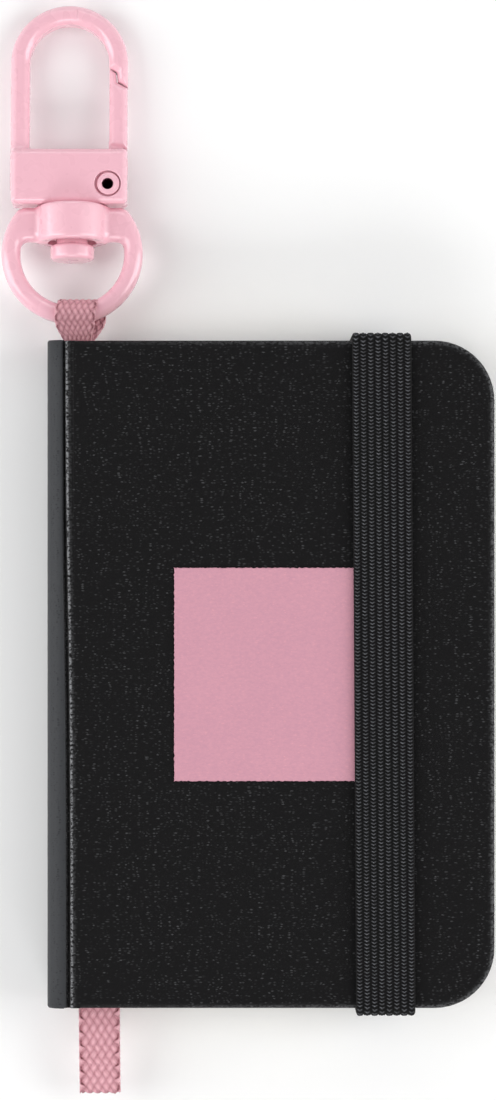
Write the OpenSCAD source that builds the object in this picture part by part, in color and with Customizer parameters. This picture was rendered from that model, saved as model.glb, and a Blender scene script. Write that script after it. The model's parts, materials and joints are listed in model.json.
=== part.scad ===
// Pocket notebook with an elastic closure, a bookmark ribbon and a ribbon loop that holds a snap clip.
// X runs from the spine to the fore-edge, Y from the tail to the head and Z from the back cover to the front.
// The origin is the centre of the back cover's outer face.

/* [Covers] */
// Width of the closed book
cover_w = 53.8; // [50:0.1:60]
// Height of the covers
cover_h = 80.2; // [76:0.1:90]
// Thickness of the closed book
book_t = 11.6; // [11:0.1:13]
// Radius of the covers' fore-edge corners
corner_r = 7.2; // [5:0.1:8]
// Thickness of the covering leatherette
skin_t = 0.3; // [0.2:0.05:0.3]
// Thickness of the cover boards
board_t = 1.6; // [1.4:0.1:1.6]
// Thickness of a pastedown
paste_t = 0.1; // [0.08:0.01:0.1]
// Distance from the spine edge to the groove that the cover turns in
groove_x = 2.45; // [2.3:0.05:2.6]

/* [Pages] */
// How far the pages stand back from the covers' edges
square = 2; // [1.5:0.1:2.5]
// Number of sewn signatures
signatures = 6; // [6:1:6]
// Thickness of a flyleaf
fly_t = 0.14; // [0.1:0.01:0.16]

/* [Patch] */
// Side of the square patch on the front cover
patch_side = 25.7; // [20:0.1:28]
// Thickness of the patch
patch_t = 0.25; // [0.15:0.05:0.3]

/* [Elastic] */
// Width of the elastic
elastic_w = 7.1; // [5:0.1:8]
// Thickness of the elastic
elastic_t = 0.9; // [0.7:0.05:1]
// Place of the elastic across the cover
elastic_x = 13.55; // [10:0.05:15]

/* [Ribbons] */
// Width of the braided ribbon
ribbon_w = 5.1; // [4.5:0.1:5.5]
// Thickness of the braided ribbon
ribbon_t = 0.75; // [0.6:0.05:0.8]
// Length of bookmark that hangs below the tail
bookmark_free = 10.8; // [6:0.1:14]
// Place of the bookmark across the cover
bookmark_x = -20.7; // [-21:0.05:-18]

/* [Clip] */
// Outer radius of the ring
ring_r = 8.6; // [8.5:0.05:8.7]
// Width of the ring's wire, seen from the front
wire_w = 2.3; // [2.2:0.05:2.4]
// Thickness of the ring's wire
wire_t = 2.4; // [2.2:0.1:2.6]
// Radius of the swivel barrel
barrel_r = 4.2; // [4:0.05:4.2]
// Radius of the swivel post
post_r = 1.88; // [1.7:0.01:1.9]
// Gap between the post and its bore
post_gap = 0.05; // [0.03:0.01:0.08]
// Thickness of the hook's body
body_t = 4.6; // [4.4:0.1:4.8]
// Thickness of the bow and the gate
bow_t = 3.2; // [3:0.1:3.4]
// Angle that the lying clip dips from its ring to its bow
clip_tilt = 6.1; // [6:0.1:6.3]

/* [Hidden] */
$fn = 96;
eps = 0.01;

// Covers
left = -cover_w / 2;
right = cover_w / 2;
head = cover_h / 2;
tail = -cover_h / 2;
cover_t = skin_t + board_t + paste_t;
hinge_x = left + groove_x;
board_x = hinge_x + 0.25;
front_z = book_t - cover_t;
spine_board_t = 1.4;
spine_round = 2;
spine_low = 0.3;
spine_top = book_t - 0.3;

// Pages
page_x = left + 2.4;
page_right = right - square;
page_head = head - square;
page_r = corner_r - square;
block_t = book_t - 2 * cover_t;
sig_t = (block_t - 2 * fly_t) / signatures;
turn_gap = 0.2;
leaf_gap = 0.02;
thread_r = 0.15;
gauze_t = 0.15;
binding_half = 28;

// Elastic
band_z = book_t + patch_t + 0.05;
band_head = head + 1;
band_tail = tail - 0.95;
leg_low = 0.95;
leg_top = band_z - 2.2;
end_len = 9;
end_low = 0.1;

// Ribbons
bookmark_z = 7.8;
bookmark_head = 34.1;
// The bookmark's route in Y and Z: flat between the pages, then drooping past the tail
bookmark_route = [
    [bookmark_head, bookmark_z], [tail, bookmark_z], [tail - 3, bookmark_z - 0.3],
    [tail - 6, bookmark_z - 1.2], [tail - 9, bookmark_z - 2.3], [tail - bookmark_free, bookmark_z - 3]
];
loop_x = -23.1;
loop_tail_w = 3.8;
loop_tail_x = -23.25;
loop_tail_len = 9;
loop_z = 5.8;
loop_layer = 0.7;
strap_y = head + 1.4;
strap_gap = 0.05;

// Clip: its own frame has U across, V along the swivel axis towards the hook and W towards the viewer
ring_x = -24.1;
ring_y = 50.9;
ring_z = 4.8;
wire_mid = ring_r - wire_w / 2;
ring_top = 5.7;
bar_low = 1.5;
barrel_low = 1.4;
barrel_top = 5.93;
post_head_r = 2.62;
post_head_low = -0.8;
post_head_top = 1.1;
post_top = 9;
bow_v = 23.5;
bow_u = -0.4;
bow_out = 7.13;
bow_in = 4.83;
body_left = -7.44;
body_right = 6.7;
body_low = 5.99;
body_top = 12.75;
body_edge = 0.55;
rivet_u = 4.33;
rivet_v = 8.35;
rivet_r = 1.1;
slot_w = 2.3;
tang_w = 2.1;
spring_v = 10.8;
spring_left = -2.4;
spring_right = 3;
pocket_r = 1;
spring_r = 0.85;
wire_r = 0.13;
spring_turns = 5;

// The strap's wire centre in the book's own frame
wire_y = ring_y - wire_mid * cos(clip_tilt);
wire_z = ring_z + wire_mid * sin(clip_tilt);

module page_outline(x0, x1, half, r) {
    // A rectangle with two round corners on the fore-edge side
    union() {
        translate([x0, -half]) square([x1 - r - x0, 2 * half]);
        translate([x0, -half + r]) square([x1 - x0, 2 * half - 2 * r]);
        for (side = [-1, 1]) {
            translate([x1 - r, side * (half - r)]) circle(r = r);
        }
    }
}

module slab(x0, x1, half, r, z0, t) {
    translate([0, 0, z0]) linear_extrude(height = t) page_outline(x0, x1, half, r);
}

module along_x(x0, x1) {
    // Extrudes an outline drawn in Y and Z from x0 to x1
    translate([x0, 0, 0]) rotate([90, 0, 90]) linear_extrude(height = x1 - x0) children();
}

module along_y(y0, y1) {
    // Extrudes an outline drawn in X and Z from y0 to y1
    translate([0, y1, 0]) rotate([90, 0, 0]) linear_extrude(height = y1 - y0) children();
}

module in_clip() {
    // Places the clip's own frame in the book's frame
    translate([ring_x, ring_y, ring_z]) rotate([-clip_tilt, 0, 0]) children();
}

module box(low, high) {
    translate(low) cube(high - low);
}

// Covers

module elastic_channels() {
    // Two shallow channels in the back cover that hold the elastic's anchored ends
    for (side = [-1, 1]) {
        y_out = side * (head + 1);
        y_in = side * (head - end_len);
        box(
            [elastic_x - elastic_w / 2, min(y_out, y_in), -eps],
            [elastic_x + elastic_w / 2, max(y_out, y_in), leg_low]
        );
    }
}

module back_skin() {
    color([0.13, 0.13, 0.14]) difference() {
        slab(hinge_x, right, head, corner_r, 0, skin_t + board_t);
        slab(hinge_x - 1, right - skin_t, head - skin_t, corner_r - skin_t, skin_t, cover_t);
        elastic_channels();
    }
}

module back_board() {
    color([0.55, 0.5, 0.44]) difference() {
        slab(board_x, right - skin_t, head - skin_t, corner_r - skin_t, skin_t, board_t);
        elastic_channels();
    }
}

module back_pastedown() {
    color([0.93, 0.9, 0.83])
        slab(board_x, right - 1, head - 1, corner_r - 1, cover_t - paste_t, paste_t);
}

module spine_outline(inset) {
    // The spine's outer shape in X and Z, drawn in by inset, with a round shoulder at both covers
    r = spine_round - inset;
    union() {
        translate([left + inset, spine_low + spine_round])
            square([groove_x - inset, spine_top - spine_low - 2 * spine_round]);
        translate([left + spine_round, spine_low + inset])
            square([groove_x - spine_round, spine_top - spine_low - 2 * inset]);
        for (z = [spine_low + spine_round, spine_top - spine_round]) {
            intersection() {
                translate([left + spine_round, z]) circle(r = r);
                translate([left, spine_low]) square([spine_round, spine_top - spine_low]);
            }
        }
    }
}

module spine_skin() {
    color([0.2, 0.2, 0.21]) difference() {
        along_y(tail, head) spine_outline(0);
        along_y(tail + skin_t, head - skin_t) union() {
            spine_outline(skin_t);
            translate([left + spine_round, spine_low + skin_t])
                square([groove_x, spine_top - spine_low - 2 * skin_t]);
        }
        box([left + skin_t + spine_board_t, tail - 1, cover_t], [hinge_x + 1, head + 1, front_z]);
    }
}

module spine_board() {
    color([0.55, 0.5, 0.44]) along_y(tail + skin_t, head - skin_t) intersection() {
        spine_outline(skin_t);
        translate([left + skin_t, spine_low + 0.5]) square([spine_board_t, spine_top - spine_low - 1]);
    }
}

module front_skin() {
    color([0.13, 0.13, 0.14]) difference() {
        slab(board_x, right, head, corner_r, front_z + paste_t, board_t + skin_t);
        slab(board_x - 1, right - skin_t, head - skin_t, corner_r - skin_t, front_z - 1, board_t + paste_t + 1);
    }
}

module front_board() {
    color([0.55, 0.5, 0.44])
        slab(board_x, right - skin_t, head - skin_t, corner_r - skin_t, front_z + paste_t, board_t);
}

module front_pastedown() {
    color([0.93, 0.9, 0.83]) slab(board_x, right - 1, head - 1, corner_r - 1, front_z, paste_t);
}

module front_patch() {
    x = (hinge_x + right) / 2;
    color([0.83, 0.61, 0.67])
        box([x - patch_side / 2, -patch_side / 2, book_t], [x + patch_side / 2, patch_side / 2, book_t + patch_t]);
}

// Pages

module leaf_slab(x0, z0, t) {
    color([0.95, 0.92, 0.84]) slab(x0, page_right, page_head, page_r, z0, t);
}

module signature(n) {
    // Counted from the front cover
    leaf_slab(page_x, cover_t + fly_t + (signatures - n) * sig_t, sig_t);
}

module loop_room() {
    // Room for the two tails of the ribbon loop at the head, close to the spine
    box(
        [page_x - 1, head - loop_tail_len - 0.3, loop_z - loop_layer - 0.1],
        [loop_tail_x + loop_tail_w / 2 + 0.1, head, loop_z + loop_layer + 0.1]
    );
}

module bookmark_room() {
    box(
        [bookmark_x - ribbon_w / 2 - 0.1, tail, bookmark_z - ribbon_t / 2 - 0.05],
        [bookmark_x + ribbon_w / 2 + 0.1, bookmark_head + 0.1, book_t]
    );
}

module front_flyleaf() {
    leaf_slab(page_x + turn_gap, front_z - fly_t, fly_t);
}

module back_flyleaf() {
    leaf_slab(page_x, cover_t, fly_t);
}

module signature_01() {
    // Turns with the front cover, so it stands a little clear of the fold and of the signature below
    leaf_slab(page_x + turn_gap, front_z - fly_t - sig_t + leaf_gap, sig_t - leaf_gap);
}

module signature_02() {
    difference() {
        signature(2);
        bookmark_room();
    }
}

module signature_03() {
    difference() {
        signature(3);
        loop_room();
    }
}

module signature_04() {
    difference() {
        signature(4);
        loop_room();
    }
}

module signature_05() {
    signature(5);
}

module signature_06() {
    signature(6);
}

module sewing_thread() {
    // Four stitches along the fold of each signature, with a link across the folds at each end
    stitch = 11;
    color([0.96, 0.94, 0.9]) union() {
        for (n = [2:signatures]) {
            z = cover_t + fly_t + (signatures - n + 0.5) * sig_t;
            for (y = [-21, -7, 7, 21]) {
                translate([page_x - thread_r, y - stitch / 2, z]) rotate([-90, 0, 0])
                    cylinder(r = thread_r, h = stitch, $fn = 16);
            }
        }
        for (y = [-binding_half + 0.5, binding_half - 0.5]) {
            translate([page_x - thread_r, y, cover_t + 0.3])
                cylinder(r = thread_r, h = 5 * sig_t, $fn = 16);
        }
    }
}

module spine_gauze() {
    x = page_x - 2 * thread_r - gauze_t;
    color([0.9, 0.88, 0.8]) box([x, -binding_half, cover_t], [x + gauze_t, binding_half, front_z]);
}

module spine_lining() {
    x = page_x - 2 * thread_r - 2 * gauze_t;
    color([0.72, 0.6, 0.45])
        box([x, -binding_half, cover_t + 0.2], [x + gauze_t, binding_half, front_z - 0.2]);
}

// Elastic

module elastic_box(y0, y1, z0, z1) {
    box([elastic_x - elastic_w / 2, y0, z0], [elastic_x + elastic_w / 2, y1, z1]);
}

module elastic_band() {
    // The strand across the cover, with its ends turned a little way down past the head and the tail
    z1 = band_z + elastic_t;
    turn = 0.6;
    color([0.16, 0.16, 0.17]) along_x(elastic_x - elastic_w / 2, elastic_x + elastic_w / 2) polygon([
        [band_tail, z1 - turn], [band_tail + turn, z1], [band_head - turn, z1], [band_head, z1 - turn],
        [band_head, leg_top], [band_head - elastic_t, leg_top], [band_head - elastic_t, band_z],
        [band_tail + elastic_t, band_z], [band_tail + elastic_t, leg_top], [band_tail, leg_top]
    ]);
}

module elastic_legs() {
    color([0.16, 0.16, 0.17]) union() {
        elastic_box(band_tail, band_tail + elastic_t, leg_low, leg_top);
        elastic_box(band_head - elastic_t, band_head, leg_low, leg_top);
    }
}

module elastic_ends() {
    // The ends lie in the back cover's channels, a little below its face
    color([0.16, 0.16, 0.17]) union() {
        elastic_box(band_tail, tail + end_len, end_low, leg_low);
        elastic_box(head - end_len, band_head, end_low, leg_low);
    }
}

// Ribbons

module bookmark_ribbon() {
    h = ribbon_t / 2;
    last = len(bookmark_route) - 1;
    color([0.87, 0.62, 0.67])
        along_x(bookmark_x - ribbon_w / 2, bookmark_x + ribbon_w / 2) polygon(concat(
            [for (p = bookmark_route) p + [0, h]],
            [for (n = [0:last]) bookmark_route[last - n] - [0, h]]
        ));
}

module loop_tails() {
    // The loop's two tails, one on the other, held between the pages
    color([0.87, 0.62, 0.67]) box(
        [loop_tail_x - loop_tail_w / 2, head - loop_tail_len, loop_z - loop_layer],
        [loop_tail_x + loop_tail_w / 2, strap_y - loop_layer - strap_gap, loop_z + loop_layer]
    );
}

module ring_room() {
    // The path that the ring's wire takes through the strap when it turns about its own centre
    in_clip() rotate_extrude() translate([wire_mid, 0]) square([wire_w + 0.2, wire_t + 0.2], center = true);
}

module ribbon_loop() {
    // The strap bends about the round edge at its start, and its far end turns around the ring's wire
    turn_r = wire_w / 2 + 0.15 + loop_layer;
    x0 = loop_x - ribbon_w / 2;
    x1 = loop_x + ribbon_w / 2;
    color([0.87, 0.62, 0.67]) difference() {
        union() {
            translate([x0, strap_y, loop_z]) rotate([0, 90, 0]) cylinder(r = loop_layer, h = ribbon_w);
            along_x(x0, x1) polygon([
                [strap_y, loop_z - loop_layer], [strap_y, loop_z + loop_layer],
                [wire_y - 0.4, wire_z + turn_r], [wire_y, wire_z + turn_r],
                [wire_y, wire_z - turn_r], [wire_y - 0.4, wire_z - turn_r]
            ]);
            translate([x0, wire_y, wire_z]) rotate([0, 90, 0]) cylinder(r = turn_r, h = ribbon_w);
        }
        ring_room();
    }
}

// Clip

module wire_outline(w, t, bevel) {
    // A rectangle with bevelled corners, w across and t thick
    polygon([
        [-w / 2, -t / 2 + bevel], [-w / 2 + bevel, -t / 2], [w / 2 - bevel, -t / 2], [w / 2, -t / 2 + bevel],
        [w / 2, t / 2 - bevel], [w / 2 - bevel, t / 2], [-w / 2 + bevel, t / 2], [-w / 2, t / 2 - bevel]
    ]);
}

module plate(t) {
    // Extrudes an outline in U and V to a thickness t about the middle plane
    translate([0, 0, -t / 2]) linear_extrude(height = t) children();
}

module barrel() {
    edge = 0.4;
    h = barrel_top - barrel_low;
    translate([0, barrel_low, 0]) rotate([-90, 0, 0]) rotate_extrude() polygon([
        [0, 0], [barrel_r - edge, 0], [barrel_r, edge], [barrel_r, h - edge], [barrel_r - edge, h], [0, h]
    ]);
}

module swivel_ring() {
    // A D-shaped ring whose straight side carries the barrel
    color([0.95, 0.74, 0.8]) in_clip() difference() {
        union() {
            difference() {
                union() {
                    rotate_extrude() translate([wire_mid, 0]) wire_outline(wire_w, wire_t, 0.5);
                    intersection() {
                        cylinder(r = ring_r - 0.3, h = wire_t, center = true);
                        box([-ring_r, bar_low, -wire_t], [ring_r, ring_top, wire_t]);
                    }
                }
                box([-ring_r, ring_top, -wire_t], [ring_r, ring_r + 1, wire_t]);
            }
            barrel();
        }
        rotate([-90, 0, 0]) cylinder(r = post_r + post_gap, h = barrel_top + 1);
    }
}

module swivel_post() {
    // Head inside the ring, shaft through the barrel and into the hook's body
    neck = post_head_top - post_head_low;
    color([0.95, 0.74, 0.8]) in_clip() translate([0, post_head_low, 0]) rotate([-90, 0, 0])
        rotate_extrude() polygon([
            [0, 0], [post_head_r - 0.7, 0], [post_head_r, 0.5], [post_head_r, neck - 0.2],
            [post_head_r - 0.2, neck], [post_r, neck], [post_r, post_top - post_head_low],
            [0, post_top - post_head_low]
        ]);
}

module nose_side(gap) {
    // All that lies on the nose's side of the line between nose and gate, drawn back from the line by gap
    polygon([
        [2, 23.06 + gap], [4.37, 22.96 + gap], [5.36 + gap, 22.32 + gap], [5.49 + gap, 21.15 + gap],
        [6.55, 20.57 + gap], [8, 19.8 + gap], [8, 25], [2, 25]
    ]);
}

module bow() {
    mid = (bow_out + bow_in) / 2;
    w = bow_out - bow_in;
    translate([bow_u, bow_v, 0]) rotate_extrude(angle = 180)
        translate([mid, 0]) wire_outline(w, bow_t, 0.6);
    translate([bow_u - mid, body_top - 0.5, 0]) rotate([-90, 0, 0])
        linear_extrude(height = bow_v - body_top + 0.5) wire_outline(w, bow_t, 0.6);
    intersection() {
        translate([bow_u + mid, bow_v - 4, 0]) rotate([-90, 0, 0])
            linear_extrude(height = 4) wire_outline(w, bow_t, 0.6);
        plate(bow_t) nose_side(0);
    }
}

module body_block() {
    // A block with bevelled edges all round its front and back faces
    intersection() {
        translate([(body_left + body_right) / 2, body_low, 0]) rotate([-90, 0, 0])
            linear_extrude(height = body_top - body_low)
            wire_outline(body_right - body_left, body_t, body_edge);
        translate([body_left, (body_low + body_top) / 2, 0]) rotate([90, 0, 90])
            linear_extrude(height = body_right - body_left)
            wire_outline(body_top - body_low, body_t, body_edge);
    }
}

module hook_body() {
    color([0.95, 0.74, 0.8]) in_clip() difference() {
        union() {
            bow();
            body_block();
        }
        rotate([-90, 0, 0]) cylinder(r = post_r, h = post_top);
        plate(slot_w) polygon([
            [2.6, 6.7], [6.05, 6.7], [6.25, 6.95], [6.25, body_top + 1], [1.2, body_top + 1],
            [1.2, body_top], [2.6, 8.5]
        ]);
        translate([rivet_u, rivet_v, 0]) cylinder(r = rivet_r, h = body_t + 1, center = true);
        for (side = [-1, 1]) {
            translate([rivet_u, rivet_v, side * body_t / 2]) cylinder(r = 1.6, h = 0.8, center = true);
        }
        translate([spring_left, spring_v, 0]) rotate([0, 90, 0]) cylinder(r = pocket_r, h = 5);
    }
}

module clip_gate() {
    color([0.95, 0.74, 0.8]) in_clip() difference() {
        union() {
            difference() {
                plate(bow_t - 0.2) polygon([
                    [4.43, body_top + 0.5], [6.73, body_top + 0.1], [6.73, 24], [4.43, 24]
                ]);
                plate(bow_t) nose_side(-0.1);
            }
            plate(tang_w) polygon([
                [3, rivet_v], [3, body_top - 0.1], [4.43, body_top + 1], [6.1, body_top + 1], [6.1, rivet_v]
            ]);
            translate([rivet_u, rivet_v, 0]) cylinder(r = 1.6, h = tang_w, center = true);
        }
        translate([rivet_u, rivet_v, 0]) cylinder(r = rivet_r + post_gap, h = body_t, center = true);
    }
}

module gate_spring() {
    // A row of fine wire rings on a thin bar stands for the coil between the body's pocket and the gate
    mid_r = spring_r - wire_r;
    pitch = (spring_right - spring_left - 2 * wire_r) / (spring_turns - 1);
    color([0.75, 0.75, 0.76]) in_clip() union() {
        for (n = [0:spring_turns - 1]) {
            translate([spring_left + wire_r + n * pitch, spring_v, 0]) rotate([0, 90, 0])
                rotate_extrude() translate([mid_r, 0]) circle(r = wire_r, $fn = 24);
        }
        box(
            [spring_left + wire_r, spring_v - mid_r - wire_r / 2, -wire_r / 2],
            [spring_right - wire_r, spring_v - mid_r + wire_r / 2, wire_r / 2]
        );
    }
}

module gate_rivet() {
    // A tube with a flange at each end, sunk in the body's counterbores
    flange_r = 1.45;
    flange_t = 0.3;
    color([0.95, 0.74, 0.8]) in_clip() translate([rivet_u, rivet_v, 0]) difference() {
        union() {
            cylinder(r = rivet_r, h = body_t - flange_t, center = true);
            for (side = [-1, 1]) {
                translate([0, 0, side * (body_t / 2 - 0.25)])
                    cylinder(r = flange_r, h = flange_t, center = true);
            }
        }
        cylinder(r = 0.69, h = body_t + 1, center = true);
    }
}

back_skin();
back_board();
back_pastedown();
spine_skin();
spine_board();
front_skin();
front_board();
front_pastedown();
front_patch();
front_flyleaf();
back_flyleaf();
signature_01();
signature_02();
signature_03();
signature_04();
signature_05();
signature_06();
sewing_thread();
spine_gauze();
spine_lining();
elastic_band();
elastic_legs();
elastic_ends();
bookmark_ribbon();
loop_tails();
ribbon_loop();
swivel_ring();
swivel_post();
hook_body();
clip_gate();
gate_spring();
gate_rivet();
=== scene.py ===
"""The looks of a pocket notebook with a ribbon loop and a snap clip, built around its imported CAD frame.

Lengths are millimetres wherever a name doesn't say otherwise. mesh_object() and metres() turn them
into metres.
"""

import json
import math
import random

import bmesh
import bpy
import numpy as np
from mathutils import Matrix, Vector


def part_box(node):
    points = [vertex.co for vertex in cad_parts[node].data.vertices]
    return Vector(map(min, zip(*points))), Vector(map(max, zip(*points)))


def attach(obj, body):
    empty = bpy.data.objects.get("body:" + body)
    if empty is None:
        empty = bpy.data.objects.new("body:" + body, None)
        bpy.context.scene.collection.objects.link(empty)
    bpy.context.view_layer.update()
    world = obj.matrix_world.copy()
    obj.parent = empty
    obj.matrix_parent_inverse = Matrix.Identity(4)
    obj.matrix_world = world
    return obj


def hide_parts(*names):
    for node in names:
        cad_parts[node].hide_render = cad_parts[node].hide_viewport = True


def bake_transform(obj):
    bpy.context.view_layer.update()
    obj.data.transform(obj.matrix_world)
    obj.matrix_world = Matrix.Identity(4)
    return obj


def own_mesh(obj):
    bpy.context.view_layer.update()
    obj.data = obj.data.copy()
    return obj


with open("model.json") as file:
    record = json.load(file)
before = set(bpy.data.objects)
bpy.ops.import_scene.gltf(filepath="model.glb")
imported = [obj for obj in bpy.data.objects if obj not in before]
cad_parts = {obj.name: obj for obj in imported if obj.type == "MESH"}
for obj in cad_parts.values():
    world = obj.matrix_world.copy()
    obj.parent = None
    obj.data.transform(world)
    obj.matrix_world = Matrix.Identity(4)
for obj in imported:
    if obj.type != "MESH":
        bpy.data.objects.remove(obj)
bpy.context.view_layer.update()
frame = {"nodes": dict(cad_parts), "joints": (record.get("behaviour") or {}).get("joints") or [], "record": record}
JOINTS = {joint["name"]: joint for joint in frame["joints"]}
MM = 0.001


# Small helpers


def metres(*point):
    return tuple(c * MM for c in point)


def box_mm(node):
    """A CAD node's lowest and highest corners, in millimetres."""
    return [np.array(corner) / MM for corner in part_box(node)]


def mesh_object(name, points, faces):
    """A new smooth-shaded mesh object from points in millimetres."""
    mesh = bpy.data.meshes.new(name)
    mesh.from_pydata((np.asarray(points, float) * MM).tolist(), [], [list(map(int, f)) for f in faces])
    mesh.validate()
    mesh.polygons.foreach_set("use_smooth", [True] * len(mesh.polygons))
    obj = bpy.data.objects.new(name, mesh)
    bpy.context.scene.collection.objects.link(obj)
    return obj


def turn_outwards(obj):
    """Turns the faces of a closed mesh outwards."""
    work = bmesh.new()
    work.from_mesh(obj.data)
    bmesh.ops.recalc_face_normals(work, faces=work.faces)
    work.to_mesh(obj.data)
    work.free()
    return obj


def sharpen(obj, degrees=35):
    """Keeps the edges that are sharper than an angle crisp in smooth shading."""
    obj.data.set_sharp_from_angle(angle=math.radians(degrees))
    return obj


def grid_faces(rows, columns, first=0, wrap=False):
    """Quads over a grid of points stored row by row; wrap joins the last column to the first."""
    i, j = np.meshgrid(np.arange(rows - 1), np.arange(columns if wrap else columns - 1), indexing="ij")
    k = (j + 1) % columns
    quads = [i * columns + j, (i + 1) * columns + j, (i + 1) * columns + k, i * columns + k]
    return (np.stack(quads, -1).reshape(-1, 4) + first).tolist()


def loft(name, loops):
    """A closed mesh over loops of equally many points, capped at both ends."""
    loops = np.asarray(loops, float)
    rows, columns = loops.shape[:2]
    faces = grid_faces(rows, columns, wrap=True)
    last = (rows - 1) * columns
    faces += [list(range(columns)), list(range(last, last + columns))]
    return turn_outwards(mesh_object(name, loops.reshape(-1, 3), faces))


def add_attribute(obj, name, values):
    obj.data.attributes.new(name, "FLOAT", "POINT").data.foreach_set("value", np.asarray(values, np.float32))


def dress(piece, paint, nodes=(), body=None):
    """Gives a piece its material and slot, and as needed the CAD nodes it replaces and the body it rides."""
    piece.data.materials.append(paint)
    if nodes:
        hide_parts(*nodes)
    if body:
        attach(piece, body)
    return piece


def headings(path):
    """Unit vectors along a line of points."""
    ahead = np.gradient(path, axis=0)
    return ahead / np.linalg.norm(ahead, axis=1)[:, None]


def distances(points):
    """How far along a line of points each of them lies."""
    return np.concatenate([[0], np.cumsum(np.linalg.norm(np.diff(points, axis=0), axis=1))])


def lookup(s, at, line):
    """The points at distances s along a flat line whose own points lie at the distances at."""
    return np.stack([np.interp(s, at, line[:, k]) for k in (0, 1)], -1)


def ease(t):
    """Goes from 0 to 1 with a soft start and end."""
    return t * t * (3 - 2 * t)


# Camera, floor and lights

VIEW_CENTRE = (-2.72, 14.94)
VIEW_HEIGHT = 132.05
VIEW_DISTANCE = 500.0
SENSOR = 36.0


def add_camera():
    """Looks straight down at the front cover."""
    data = bpy.data.cameras.new("camera")
    data.sensor_fit = "VERTICAL"
    data.sensor_height = SENSOR
    data.lens = SENSOR * VIEW_DISTANCE / VIEW_HEIGHT
    data.clip_start = 0.01
    camera = bpy.data.objects.new("camera", data)
    camera.location = metres(*VIEW_CENTRE, box_mm("front_skin")[1][2] + VIEW_DISTANCE)
    bpy.context.scene.collection.objects.link(camera)
    bpy.context.scene.camera = camera


FLOOR_HALF = 900


def add_floor(paint):
    corners = [(x * FLOOR_HALF, y * FLOOR_HALF, 0) for x, y in ((-1, -1), (1, -1), (1, 1), (-1, 1))]
    floor = mesh_object("floor", corners, [(0, 1, 2, 3)])
    floor.data.materials.append(paint)


WALLS_AND_CEILING = (0.55, 0.06)
LIT_POINT = (0, 15, 0)
SIDE_BOX, END_BOX = (320, 700), (500, 250)
SOFTBOXES = {
    "left": ((-500, 20, 300), SIDE_BOX, 2.3),
    "right": ((500, 20, 300), SIDE_BOX, 2.3),
    "head": ((0, 600, 420), END_BOX, 0.8),
    "tail": ((0, -560, 420), END_BOX, 1.7),
}


def add_softbox(name, place, size, power):
    data = bpy.data.lights.new(name, "AREA")
    data.shape = "RECTANGLE"
    data.size, data.size_y = (s * MM for s in size)
    data.energy = power
    light = bpy.data.objects.new(name, data)
    light.location = metres(*place)
    light.rotation_euler = (Vector(LIT_POINT) - Vector(place)).to_track_quat("-Z", "Y").to_euler()
    bpy.context.scene.collection.objects.link(light)


def add_lights():
    """A pale studio with a dim ceiling, and a softbox on each of four sides."""
    scene = bpy.context.scene
    scene.view_settings.view_transform = "Standard"
    scene.world = bpy.data.worlds.new("studio")
    scene.world.use_nodes = True
    tree = scene.world.node_tree
    split = tree.nodes.new("ShaderNodeSeparateXYZ")
    tree.links.new(tree.nodes.new("ShaderNodeTexCoord").outputs["Generated"], split.inputs[0])
    fade = tree.nodes.new("ShaderNodeMapRange")
    for socket, value in zip(list(fade.inputs)[1:5], (0.5, 0.9, *WALLS_AND_CEILING)):
        socket.default_value = value
    tree.links.new(split.outputs[2], fade.inputs[0])
    tree.links.new(fade.outputs[0], tree.nodes["Background"].inputs["Strength"])
    tree.nodes["Background"].inputs["Color"].default_value = (1, 1, 1, 1)
    for side, (place, size, power) in SOFTBOXES.items():
        add_softbox("softbox_" + side, place, size, power)


# Materials

ROW_PITCH = 1.25
ROW_SWAY = 2.6
DASH_CELLS = (1.9, 3.7, 3.7)


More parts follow.
